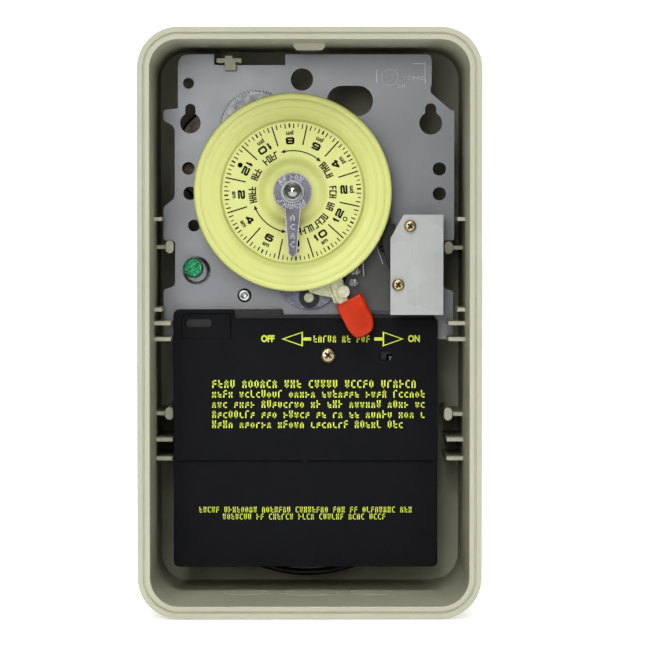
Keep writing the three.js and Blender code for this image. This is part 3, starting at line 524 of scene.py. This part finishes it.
def dial_profile():
    """The dial's section: ringed flange, raised face, dished middle, hub and rolled skirt."""
    profile = [(DIAL_BORE, HUB_BACK), (HUB_RADIUS, HUB_BACK), (HUB_RADIUS, DIAL_FACE - 4.4)]
    profile += [(13.0, DIAL_FACE - 4.0), (27.0, DIAL_FACE - 3.2)]
    profile += [(28.4, FLANGE_LEVEL - SKIN), (37.2, FLANGE_LEVEL - SKIN)]
    profile += [(FLANGE_EDGE, DIAL_BACK), (38.7, DIAL_BACK)]
    for step in range(9):  # the rolled outer edge
        angle = math.radians(-30 + 120 * step / 8)
        radius = DIAL_RADIUS - ROLL + ROLL * math.cos(angle)
        profile.append((radius, FLANGE_LEVEL - 1.25 + ROLL * math.sin(angle)))
    steps = 60
    for step in range(steps + 1):  # across the flange and up the soft shoulder to the face
        radius = FLANGE_EDGE - (FLANGE_EDGE - SHOULDER_TOP) * step / steps
        rise = min(1.0, max(0.0, (SHOULDER_FOOT - radius) / 1.3))
        ease = (1 - math.cos(math.pi * rise)) / 2
        level = flange_wave(radius) * (1 - ease) + SHOULDER_RISE * ease
        profile.append((radius, FLANGE_LEVEL - 0.05 + level))
    profile.append((DISH_RADIUS + 0.4, DIAL_FACE))
    steps = 12
    for step in range(1, steps + 1):  # the dished middle
        share = step / steps
        ease = (1 - math.cos(math.pi * share)) / 2
        profile.append((DISH_RADIUS - 4.6 * share, DIAL_FACE - DISH_DEPTH * ease))
    profile.append((DIAL_BORE, DIAL_FACE - DISH_DEPTH))
    return profile


def add_dial():
    vertices, faces = turned_mesh(dial_profile(), (DIAL_X, DIAL_Z), DIAL_SEGMENTS)
    dial = new_piece("dial_moulding", vertices, faces, "dial_plastic", "dial")
    recalculate_normals(dial)
    dial.data.shade_smooth()
    dial.data.set_sharp_from_angle(angle=CREASE)
    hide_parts("dial")


def recalculate_normals(piece):
    """Points every face outwards."""
    shell = bmesh.new()
    shell.from_mesh(piece.data)
    bmesh.ops.remove_doubles(shell, verts=shell.verts, dist=0.0005 * MM)
    bmesh.ops.recalc_face_normals(shell, faces=shell.faces)
    shell.to_mesh(piece.data)
    shell.free()


def on_dial(clock_degrees, radius):
    """A point on the dial face: an angle clockwise from the top, and a radius."""
    angle = math.radians(clock_degrees)
    return DIAL_X + radius * math.sin(angle), DIAL_Z + radius * math.cos(angle)


def dial_ticks():
    """Ninety-six quarter-hour ticks: bold on even hours, long on odd ones."""
    outer, count = 27.0, 96
    bold, long = (25.4, 0.62), (18.9, 0.5)
    plain = ((25.7, 0.34), (25.1, 0.42))
    marks = []
    for index in range(count):
        inner, width = {0: bold, 4: long}.get(index % 8, plain[index % 2])
        clock = DIAL_TURN + index * 360 / count
        x, z = on_dial(clock, (inner + outer) / 2)
        marks.append(rectangle(x, z, width, outer - inner, -math.radians(clock)))
    return marks


def arc_arrow(start, end, radius, width=0.42):
    """A curved line with an arrowhead at both ends, as flat outlines."""
    head = math.copysign(6.5, end - start)
    outlines = []
    steps = 16
    line_start, line_end = start + head * 0.7, end - head * 0.7
    for step in range(steps):
        first = line_start + (line_end - line_start) * step / steps
        second = line_start + (line_end - line_start) * (step + 1.08) / steps
        corners = [on_dial(first, radius - width / 2), on_dial(second, radius - width / 2),
                   on_dial(second, radius + width / 2), on_dial(first, radius + width / 2)]
        outlines.append(corners)
    barb = 0.75
    for tip, back in ((start, start + head), (end, end - head)):
        outlines.append(
            [on_dial(tip, radius), on_dial(back, radius - barb), on_dial(back, radius + barb)]
        )
    return outlines


def counter_clockwise(outline):
    area = sum(a[0] * b[1] - b[0] * a[1] for a, b in zip(outline, outline[1:] + outline[:1]))
    return outline if area > 0 else list(reversed(outline))


def turned(place, x, z, turn):
    """The point (x, z) turned about the origin and then moved to a place."""
    cos, sin = math.cos(turn), math.sin(turn)
    return place[0] + x * cos - z * sin, place[1] + x * sin + z * cos


SECOND_UPRIGHT = 0.55  # how often a blank glyph has one
CAPITAL = 0.28  # how often a glyph in small print is tall
SMALL = 0.76  # a small glyph's height as a share of a tall one's
GLYPH_SHARE = 0.7  # a glyph's width as a share of its pitch


def blank_glyph(width, height, stroke, rng):
    """Strokes that stand for a letter without being one: uprights and bars round its own middle."""
    half, tall = (width - stroke) / 2, (height - stroke) / 2
    strokes = [(-half, 0, stroke, height)]
    if rng.random() < SECOND_UPRIGHT:
        strokes.append((half, 0, stroke, height))
    levels = [tall, 0, -tall]
    rng.shuffle(levels)
    for level in levels[: rng.choice((1, 2, 2))]:
        strokes.append((0, level, width, stroke))
    return strokes


def placed_glyph(strokes, place, turn):
    """Turns a glyph's strokes about its middle and moves them to a place on the face."""
    outlines = []
    for x, z, width, height in strokes:
        outlines.append(rectangle(*turned(place, x, z, turn), width, height, turn))
    return outlines


def greeked_arc(start, letters, radius, pitch, height, rng, width=1.4, stroke=0.5):
    """Blank glyphs that stand for a word round an arc."""
    outlines = []
    for letter in range(letters):
        clock = start + letter * pitch
        glyph = blank_glyph(width, height, stroke, rng)
        outlines += placed_glyph(glyph, on_dial(clock, radius), -math.radians(clock))
    return outlines


DIGITS = {  # each digit's strokes, across and up, in a box from -1 to 1 each way
    "0": [[(-1, -0.6), (-1, 0.6), (-0.7, 1), (0.7, 1), (1, 0.6), (1, -0.6), (0.7, -1), (-0.7, -1),
           (-1, -0.6)]],
    "1": [[(-0.75, 0.35), (0.15, 1), (0.15, -1)]],
    "2": [[(-1, 0.75), (-0.75, 1), (0.75, 1), (1, 0.7), (1, 0.25), (0.7, 0), (-0.7, -0.1),
           (-1, -0.4), (-1, -1), (1, -1)]],
    "4": [[(0.55, -1), (0.55, 1), (0.25, 1), (-1, -0.45), (1, -0.45)]],
    "6": [[(0.9, 1), (-0.65, 1), (-1, 0.65), (-1, -0.65), (-0.65, -1), (0.65, -1), (1, -0.65),
           (1, -0.15), (0.7, 0.12), (-0.9, 0.12)]],
    "8": [[(-1, -0.7), (-1, -0.25), (-0.7, 0), (0.7, 0), (1, -0.25), (1, -0.7), (0.7, -1),
           (-0.7, -1), (-1, -0.7)],
          [(-0.7, 0), (-0.95, 0.25), (-0.95, 0.75), (-0.65, 1), (0.65, 1), (0.95, 0.75),
           (0.95, 0.25), (0.7, 0)]],
}
DIGIT = {"height": 2.8, "width": 3.4, "thin": 1.5, "stroke": 0.74, "gap": 0.6}


def thick_line(start, end, stroke):
    """A straight stroke with square ends that run half its width past both points."""
    along = math.atan2(end[1] - start[1], end[0] - start[0])
    length = math.dist(start, end) + stroke * 0.8
    return rectangle((start[0] + end[0]) / 2, (start[1] + end[1]) / 2, length, stroke, along)


def number_outlines(number, place, turn):
    """A wide squared numeral, centred on a place and turned about it."""
    widths = [DIGIT["thin"] if digit == "1" else DIGIT["width"] for digit in number]
    left = -(sum(widths) + DIGIT["gap"] * (len(number) - 1)) / 2
    outlines = []
    for digit, width in zip(number, widths):
        half = (width - DIGIT["stroke"]) / 2
        tall = (DIGIT["height"] - DIGIT["stroke"]) / 2
        for line in DIGITS[digit]:
            middle = left + width / 2
            points = [turned(place, middle + x * half, z * tall, turn) for x, z in line]
            outlines += [thick_line(a, b, DIGIT["stroke"]) for a, b in zip(points, points[1:])]
        left += width + DIGIT["gap"]
    return outlines


def text_mesh(name, words, size, stretch, bold, place, turn, material, body, out):
    """Letters laid on a face: centred on place (x, z), turned counter-clockwise from the front."""
    curve = bpy.data.curves.new(name, "FONT")
    curve.body = words
    curve.size = size * MM
    curve.align_x = "CENTER"
    curve.align_y = "CENTER"
    curve.offset = bold * MM
    curve.extrude = PRINT_THICK * MM / 2
    curve.resolution_u = 4
    source = bpy.data.objects.new(name, curve)
    bpy.context.scene.collection.objects.link(source)
    bpy.context.view_layer.update()
    depsgraph = bpy.context.evaluated_depsgraph_get()
    mesh = bpy.data.meshes.new_from_object(source.evaluated_get(depsgraph))
    bpy.data.objects.remove(source)
    middle = (place[0] * MM, place[1] * MM)
    for vertex in mesh.vertices:
        x, z = turned(middle, vertex.co.x * stretch, vertex.co.y, turn)
        vertex.co = (x, -out * MM - vertex.co.z, z)
    mesh.materials.clear()
    mesh.materials.append(MATERIALS[material])
    piece = bpy.data.objects.new(name, mesh)
    bpy.context.scene.collection.objects.link(piece)
    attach(piece, body)


def ring_outlines(place, radius, stroke, steps=20):
    """A small open circle, as short strokes."""
    points = []
    for step in range(steps + 1):
        angle = 2 * math.pi * step / steps
        points.append((place[0] + radius * math.cos(angle), place[1] + radius * math.sin(angle)))
    return [thick_line(a, b, stroke) for a, b in zip(points, points[1:])]


def add_dial_print():
    """Ticks, arrows, hours and blank words; noon is an open ring and midnight a dot."""
    rng = random.Random(11)
    word_radius, pitch, letter_height = 15.9, 6.0, 2.9
    number_radius, half_radius, ring_radius = 20.2, 23.0, 23.2
    marks = dial_ticks()
    marks += arc_arrow(-17, 43, 16.3)
    marks += arc_arrow(189, 251, 16.0)
    for start, letters in ((48, 4), (84, 3), (108, 2), (127, 4), (152, 4)):
        marks += greeked_arc(start, letters, word_radius, pitch, letter_height, rng)
    for start, letters in ((-24, 4), (-58, 3), (-85, 4)):
        marks += greeked_arc(start, letters, word_radius, -pitch, letter_height, rng)
    for index in range(12):
        clock = DIAL_TURN + index * 30
        hour = str((8 - 2 * index - 1) % 12 + 1)
        half = "pm" if index in (0, 1, 2, 3, 11) else "am"
        turn = math.pi - math.radians(clock)
        marks += number_outlines(hour, on_dial(clock, number_radius), turn)
        if hour == "12":
            radius, stroke = (0.75, 0.35) if index < 6 else (0.45, 0.9)
            marks += ring_outlines(on_dial(clock, ring_radius), radius, stroke)
        else:
            text_mesh(f"dial_half_{index + 1}", half, 2.5, 0.95, 0.08,
                      on_dial(clock, half_radius), turn, "dial_print", "dial",
                      DIAL_FACE + PRINT_THICK / 2)
    outlines = [counter_clockwise(mark) for mark in marks]
    vertices, faces = flat_blocks(outlines, DIAL_FACE - 0.02, DIAL_FACE + PRINT_THICK)
    new_piece("dial_marks", vertices, faces, "dial_print", "dial")


# ---- Pointer ---------------------------------------------------------------------------------
POINTER_HUB = 7.6
POINTER_LINE = 0.3
BLADE_EDGE = [(2.95, -6.9), (1.5, -23.9), (0, -26.0), (-1.5, -23.9), (-2.95, -6.9)]


def add_pointer_relief():
    """A raised rim, and blank glyphs round the pointer's hub and down its blade, in a lighter metal
    than the pointer: a painted highlight.
    """
    front = -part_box("time_pointer")[0].y / MM
    rng = random.Random(5)
    outlines = []
    for start, letters, pitch in ((-52, 2, 19), (-4, 3, 19), (236, 7, -17)):
        outlines += greeked_arc(start, letters, 5.8, pitch, 2.1, rng, 1.35, 0.42)
    for row in (10.2, 13.7, 17.2, 20.6):
        outlines += placed_glyph(blank_glyph(1.7, 2.2, 0.44, rng), (DIAL_X, DIAL_Z - row), 0)
    edge, steps, reach, radius = [], 40, 157, POINTER_HUB - 0.25
    for step in range(steps + 1):  # round the hub, from one side of the blade to the other
        clock = math.radians(reach - 2 * reach * step / steps)
        edge.append((-radius * math.sin(clock), radius * math.cos(clock)))
    for path in (edge, BLADE_EDGE):
        places = [(DIAL_X + x, DIAL_Z + z) for x, z in path]
        outlines += [thick_line(a, b, POINTER_LINE) for a, b in zip(places, places[1:])]
    outlines = [counter_clockwise(outline) for outline in outlines]
    vertices, faces = flat_blocks(outlines, front - 0.05, front + 0.12)
    new_piece("pointer_relief", vertices, faces, "relief_bright", "enclosure")


def add_nut():
    """The domed nut, turned smoothly."""
    low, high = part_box("pointer_nut")
    front, back = -low.y / MM, -high.y / MM
    radius = (high.x - low.x) / 2 / MM
    bore, axis, steps = 2.1, 0.02, 14
    dome_radius, dome_tall = radius * 0.76, 2.6
    foot = front - dome_tall
    profile = [(bore, back), (radius - 0.15, back), (radius - 0.02, back + 0.15)]
    profile += [(radius - 0.02, back + 0.6), (radius - 0.25, back + 0.8)]
    profile += [(dome_radius + 0.1, foot - 0.1)]
    for step in range(steps + 1):
        angle = math.pi / 2 * step / steps
        across = max(axis, dome_radius * math.cos(angle))
        profile.append((across, foot + dome_tall * math.sin(angle)))
    profile += [(axis, front - 1.7), (bore, front - 1.7)]
    vertices, faces = turned_mesh(profile, (DIAL_X, DIAL_Z), 48)
    nut = new_piece("nut_dome", vertices, faces, "bright_steel", "enclosure")
    recalculate_normals(nut)
    nut.data.shade_smooth()
    nut.data.set_sharp_from_angle(angle=CREASE)
    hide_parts("pointer_nut")


# ---- Screw recesses --------------------------------------------------------------------------
RECESS_ARMS = {"cover_screw_1": 2.0, "cover_screw_2": 2.0, "guard_screw": 2.6}
RECESS_TURN = math.radians(52)


def add_recess_shade(screw, arm, turn):
    """Painted shade: a dark floor in a screw's cross recess, standing in for the shadow there."""
    low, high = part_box(screw)
    middle = ((low.x + high.x) / 2 / MM, (low.z + high.z) / 2 / MM)
    front = -low.y / MM
    slot = 0.6
    outlines = [rectangle(*middle, arm, slot, turn + quarter) for quarter in (0, math.pi / 2)]
    vertices, faces = flat_blocks(outlines, front - 1.02, front - 0.55)
    new_piece(f"{screw}_recess", vertices, faces, "recess_shade", "enclosure")


# ---- Stamped marks ---------------------------------------------------------------------------
def add_plate_stamp():
    """Blank shallow stampings in the plate's top right corner, lighter than the plate itself: a
    painted highlight.
    """
    front = -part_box("mounting_plate")[0].y / MM
    rng = random.Random(3)
    line, ring = 0.3, (32.2, 97.4)
    outlines = ring_outlines(ring, 3.3, line, 28) + ring_outlines(ring, 1.5, line, 16)
    outlines += [rectangle(27.0, 97.8, line, 5.4), rectangle(46.4, 99.2, line, 8.6)]
    outlines.append(rectangle(44.0, 102.9, 4.8, line))
    for x, z, count in ((38.2, 97.2, 5), (36.0, 94.0, 2)):
        for letter in range(count):
            outlines += placed_glyph(blank_glyph(1.2, 1.5, 0.28, rng), (x + letter * 1.8, z), 0)
    outlines = [counter_clockwise(outline) for outline in outlines]
    vertices, faces = flat_blocks(outlines, front - 0.03, front + 0.12)
    new_piece("plate_stamp", vertices, faces, "stamp_shine", "enclosure")


# ---- Guard print -----------------------------------------------------------------------------
GUARD_FRONT = -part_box("safety_guard")[0].y / MM
ARROW_ROW = -7.6  # height of the row with the two arrows
LEFT, RIGHT = -39.2, 46.2  # ends of the long rows
HEADING = -25.65
SMALL_PRINT = ((-29.6, RIGHT), (-33.7, RIGHT), (-37.8, RIGHT), (-41.8, 37.6))  # height, right end
FOOT_PRINT = ((-44.4, 42.0, -76.1), (-34.9, 32.6, -78.9))  # left end, right end, height
LABELS = (("off_label", "OFF", -16.8), ("on_label", "ON", 41.8))  # name, word, place across


def outlined_arrow(tip_x, base_x, z, half, line=0.62):
    """A hollow triangle, drawn as three strokes."""
    corners = [(tip_x, z), (base_x, z + half), (base_x, z - half)]
    middle = (sum(x for x, _ in corners) / 3, z)
    shrink = 1 - 3 * line / abs(base_x - tip_x)
    inner = [(middle[0] + (x - middle[0]) * shrink, z + (y - z) * shrink) for x, y in corners]
    strokes = []
    for index in range(3):
        after = (index + 1) % 3
        strokes.append([corners[index], corners[after], inner[after], inner[index]])
    return strokes


def greeked_line(left, right, z, height, pitch, stroke, rng, capitals=True):
    """A line of blank glyphs that stands for small print, its capitals' middle at z."""
    outlines = []
    x = left + pitch * 0.4
    word = rng.randint(3, 8)
    base = z - height / 2
    while x < right - pitch * 0.3:
        if word == 0:
            x += pitch
            word = rng.randint(2, 8)
            continue
        tall = height if capitals or rng.random() < CAPITAL else height * SMALL
        glyph = blank_glyph(pitch * GLYPH_SHARE, tall, stroke, rng)
        outlines += placed_glyph(glyph, (x, base + tall / 2), 0)
        x += pitch
        word -= 1
    return outlines


def add_guard_print():
    """The ON and OFF arrows, and blank rows in place of the printed sentences."""
    rng = random.Random(23)
    outlines = []
    for tip, base in ((-11.4, -2.7), (37.8, 29.2)):
        outlines += outlined_arrow(tip, base, ARROW_ROW, 3.0)
    for shaft, length in ((-1.0, 3.2), (27.6, 3.4)):
        outlines.append(rectangle(shaft, ARROW_ROW, length, 1.3))
    outlines += greeked_line(1.4, 25.0, ARROW_ROW, 2.8, 1.92, 0.5, rng)
    outlines += greeked_line(LEFT, RIGHT, HEADING, 3.2, 2.42, 0.6, rng)
    for z, end in SMALL_PRINT:
        outlines += greeked_line(LEFT, end, z, 3.1, 2.2, 0.54, rng, capitals=False)
    for start, end, z in FOOT_PRINT:
        outlines += greeked_line(start, end, z, 2.4, 1.68, 0.42, rng)
    outlines = [counter_clockwise(outline) for outline in outlines]
    vertices, faces = flat_blocks(outlines, GUARD_FRONT - 0.02, GUARD_FRONT + PRINT_THICK)
    new_piece("guard_marks", vertices, faces, "guard_print", "enclosure")
    for name, words, x in LABELS:
        text_mesh(name, words, 3.6, 0.84, 0.18, (x, ARROW_ROW), 0, "guard_print", "enclosure",
                  GUARD_FRONT + PRINT_THICK / 2)


# ---- Jumper lead -----------------------------------------------------------------------------
JUMPER_ROUTE = [
    (-22, 33, -30.4), (-22.8, 33, -36), (-26, 32.4, -45.5), (-31.4, 31.4, -57), (-36, 30.4, -68),
    (-38.4, 29.6, -77.5), (-37.6, 29, -85.4), (-32.6, 28.4, -93), (-25, 28, -98), (-17, 28, -101.1),
    (-8.9, 28, -103), (-0.7, 28, -103.6), (7.5, 28, -103), (15.6, 28, -101.1), (23.6, 28, -98),
    (31.2, 28.4, -93), (36.4, 29, -85.4), (37.6, 29.6, -77.5), (35.6, 30.4, -68), (31.2, 31.4, -57),
    (26, 32.4, -45.5), (22.8, 33, -36), (22, 33, -30.4),
]
JUMPER_DIAMETER = 2.8


def add_jumper_lead():
    """The black lead that loops below the guard, from one terminal to another."""
    curve = bpy.data.curves.new("jumper_wire", "CURVE")
    curve.dimensions = "3D"
    spline = curve.splines.new("NURBS")
    spline.points.add(len(JUMPER_ROUTE) - 1)
    for point, place in zip(spline.points, JUMPER_ROUTE):
        point.co = (*mm(*place), 1)
    spline.order_u = 4
    spline.use_endpoint_u = True
    spline.resolution_u = 12
    curve.bevel_depth = JUMPER_DIAMETER / 2 * MM
    curve.bevel_resolution = 6
    curve.use_fill_caps = True
    curve.materials.append(MATERIALS["wire_insulation"])
    wire = bpy.data.objects.new("jumper_wire", curve)
    bpy.context.scene.collection.objects.link(wire)
    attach(wire, "enclosure")
    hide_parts("jumper_lead")


# ---- Stage and light -------------------------------------------------------------------------
FLOOR_REACH = 12.0  # half the floor's width, metres
FLOOR_GAP = 0.0004  # below the enclosure, metres
SPOT_SIZE = 0.12  # radius of the spot's source, metres
LOW = Vector((0, -0.05, -0.135))  # what the lights aim at: the bottom inside,
MIDDLE = Vector((0, -0.05, 0.03))  # a little above the middle,
CENTRE = Vector((0, -0.05, -0.04))  # and a little below it


def add_floor():
    """A plain white floor, wide enough to reach past the frame from any side."""
    size, base = FLOOR_REACH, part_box("case_body")[0].z - FLOOR_GAP
    mesh = bpy.data.meshes.new("floor")
    corners = [(-size, -size, base), (size, -size, base), (size, size, base), (-size, size, base)]
    mesh.from_pydata(corners, [], [(0, 1, 2, 3)])
    floor = bpy.data.objects.new("floor", mesh)
    material, tree, shader, at = new_material("floor_paint", (0.93, 0.93, 0.93), 0.7)
    tree.links.new(remap(tree, noise(tree, at, 6, 2), 0, 1, 0.65, 0.75), shader.inputs["Roughness"])
    shader.inputs["Emission Color"].default_value = (1, 1, 1, 1)
    shader.inputs["Emission Strength"].default_value = 0.3
    mesh.materials.append(material)
    bpy.context.scene.collection.objects.link(floor)


def turn_towards(light, place, aim):
    light.location = place
    light.rotation_euler = (aim - Vector(place)).to_track_quat("-Z", "Y").to_euler()


def add_area_light(name, place, aim, size, power, spread=180):
    """A rectangular light: size in metres, power in watts, spread in degrees."""
    light = bpy.data.objects.new(name, bpy.data.lights.new(name, "AREA"))
    bpy.context.scene.collection.objects.link(light)
    turn_towards(light, place, aim)
    light.data.shape = "RECTANGLE"
    light.data.size, light.data.size_y = size
    light.data.energy = power
    light.data.spread = math.radians(spread)


WORLD_BEHIND = 1.1
WORLD_BEFORE = 0.2


def add_world():
    """A white studio behind the object that fades to a dimmer room on the camera's side."""
    world = bpy.data.worlds.new("studio")
    bpy.context.scene.world = world
    world.use_nodes = True
    tree = world.node_tree
    split = tree.nodes.new("ShaderNodeSeparateXYZ")
    coordinates = tree.nodes.new("ShaderNodeTexCoord")
    tree.links.new(coordinates.outputs["Generated"], split.inputs["Vector"])
    level = remap(tree, split.outputs["Y"], -0.2, 0.5, WORLD_BEFORE, WORLD_BEHIND)
    tree.links.new(level, tree.nodes["Background"].inputs["Strength"])
    tree.nodes["Background"].inputs["Color"].default_value = (1, 1, 1, 1)


def add_low_spot(place, aim, cone, power):
    """A soft round spot, its cone in degrees and its power in watts."""
    spot = bpy.data.objects.new("low_spot", bpy.data.lights.new("low_spot", "SPOT"))
    bpy.context.scene.collection.objects.link(spot)
    turn_towards(spot, place, aim)
    spot.data.spot_size = math.radians(cone)
    spot.data.spot_blend = 1.0
    spot.data.shadow_soft_size = SPOT_SIZE
    spot.data.energy = power


def add_lights():
    """A soft front light from the left, a narrow one above, and a spot on the bottom inside."""
    add_world()
    add_low_spot((-0.1, -1.3, 0.42), LOW, cone=13, power=14)
    add_area_light("front", (-0.26, -1.62, 0.34), MIDDLE, (0.5, 0.5), power=4.3)
    add_area_light("top", (0.0, -0.85, 0.95), CENTRE, (1.0, 0.5), power=1.15, spread=60)
    bpy.context.scene.view_settings.view_transform = "Standard"
    bpy.context.scene.view_settings.look = "Medium High Contrast"


# ---- The model, in order ---------------------------------------------------------------------
add_camera()
add_jumper_lead()
dress_cad_nodes()
squash_dial_spring()
relay_triangles("case_body", "case_shell")
relay_triangles("safety_guard", "guard_panel")
add_dial()
add_dial_print()
add_pointer_relief()
add_nut()
for screw_name, recess_arm in RECESS_ARMS.items():
    add_recess_shade(screw_name, recess_arm, RECESS_TURN)
add_plate_stamp()
add_guard_print()
add_floor()
add_lights()
